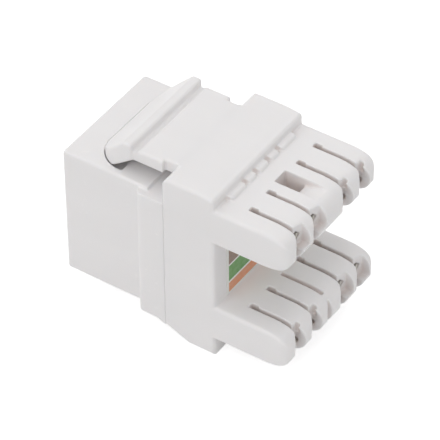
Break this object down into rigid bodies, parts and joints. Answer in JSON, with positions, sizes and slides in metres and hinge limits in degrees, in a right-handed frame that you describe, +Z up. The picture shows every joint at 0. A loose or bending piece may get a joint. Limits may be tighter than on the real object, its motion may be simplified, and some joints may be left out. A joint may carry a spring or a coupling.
{
  "type": "keystone jack",
  "caption": "Snap-in modular socket: white housing with a sprung latch on top, plug port in front and two slotted punch-down wire arms behind.",
  "frame": {"origin": "centre of the port face, on the middle of the panel opening", "axes": "+Y from the port face back along the jack to the wire arms, +Z up towards the latch, +X to the right of someone who looks into the port"},
  "size_m": [0.0164, 0.0281, 0.0217],
  "materials": {
    "housing_plastic": "satin white moulded plastic",
    "insert_plastic": "natural moulded plastic",
    "board": "green solder mask",
    "label": "printed paper label with coloured bands",
    "contact_gold": "gold-plated spring wire",
    "terminal_metal": "tinned phosphor bronze"
  },
  "bodies": {
    "housing": {"front_housing": "housing_plastic", "rear_block": "housing_plastic", "contact_carrier": "insert_plastic", "circuit_board": "board", "wiring_label": "label", "contact_roots": "contact_gold", "idc_contact_1": "terminal_metal", "idc_contact_2": "terminal_metal", "idc_contact_3": "terminal_metal", "idc_contact_4": "terminal_metal", "idc_contact_5": "terminal_metal", "idc_contact_6": "terminal_metal", "idc_contact_7": "terminal_metal", "idc_contact_8": "terminal_metal"},
    "latch": {"latch": "housing_plastic"},
    "jack_contact_1": {"jack_contact_1": "contact_gold"},
    "jack_contact_2": {"jack_contact_2": "contact_gold"},
    "jack_contact_3": {"jack_contact_3": "contact_gold"},
    "jack_contact_4": {"jack_contact_4": "contact_gold"},
    "jack_contact_5": {"jack_contact_5": "contact_gold"},
    "jack_contact_6": {"jack_contact_6": "contact_gold"},
    "jack_contact_7": {"jack_contact_7": "contact_gold"},
    "jack_contact_8": {"jack_contact_8": "contact_gold"}
  },
  "joints": [
    {"name": "latch_press", "type": "hinge", "parent": "housing", "child": "latch", "pos_m": [0, 0.013, 0.0097], "axis": [1, 0, 0], "range_deg": [0, 6], "stiffness_Nm_per_rad": 0.5},
    {"name": "jack_contact_1_flex", "type": "hinge", "parent": "housing", "child": "jack_contact_1", "pos_m": [-0.00357, 0.00408, 0.00455], "axis": [1, 0, 0], "range_deg": [0, 11], "stiffness_Nm_per_rad": 0.03},
    {"name": "jack_contact_2_flex", "type": "hinge", "parent": "housing", "child": "jack_contact_2", "pos_m": [-0.00255, 0.00408, 0.00455], "axis": [1, 0, 0], "range_deg": [0, 11], "stiffness_Nm_per_rad": 0.03},
    {"name": "jack_contact_3_flex", "type": "hinge", "parent": "housing", "child": "jack_contact_3", "pos_m": [-0.00153, 0.00408, 0.00455], "axis": [1, 0, 0], "range_deg": [0, 11], "stiffness_Nm_per_rad": 0.03},
    {"name": "jack_contact_4_flex", "type": "hinge", "parent": "housing", "child": "jack_contact_4", "pos_m": [-0.00051, 0.00408, 0.00455], "axis": [1, 0, 0], "range_deg": [0, 11], "stiffness_Nm_per_rad": 0.03},
    {"name": "jack_contact_5_flex", "type": "hinge", "parent": "housing", "child": "jack_contact_5", "pos_m": [0.00051, 0.00408, 0.00455], "axis": [1, 0, 0], "range_deg": [0, 11], "stiffness_Nm_per_rad": 0.03},
    {"name": "jack_contact_6_flex", "type": "hinge", "parent": "housing", "child": "jack_contact_6", "pos_m": [0.00153, 0.00408, 0.00455], "axis": [1, 0, 0], "range_deg": [0, 11], "stiffness_Nm_per_rad": 0.03},
    {"name": "jack_contact_7_flex", "type": "hinge", "parent": "housing", "child": "jack_contact_7", "pos_m": [0.00255, 0.00408, 0.00455], "axis": [1, 0, 0], "range_deg": [0, 11], "stiffness_Nm_per_rad": 0.03},
    {"name": "jack_contact_8_flex", "type": "hinge", "parent": "housing", "child": "jack_contact_8", "pos_m": [0.00357, 0.00408, 0.00455], "axis": [1, 0, 0], "range_deg": [0, 11], "stiffness_Nm_per_rad": 0.03}
  ]
}
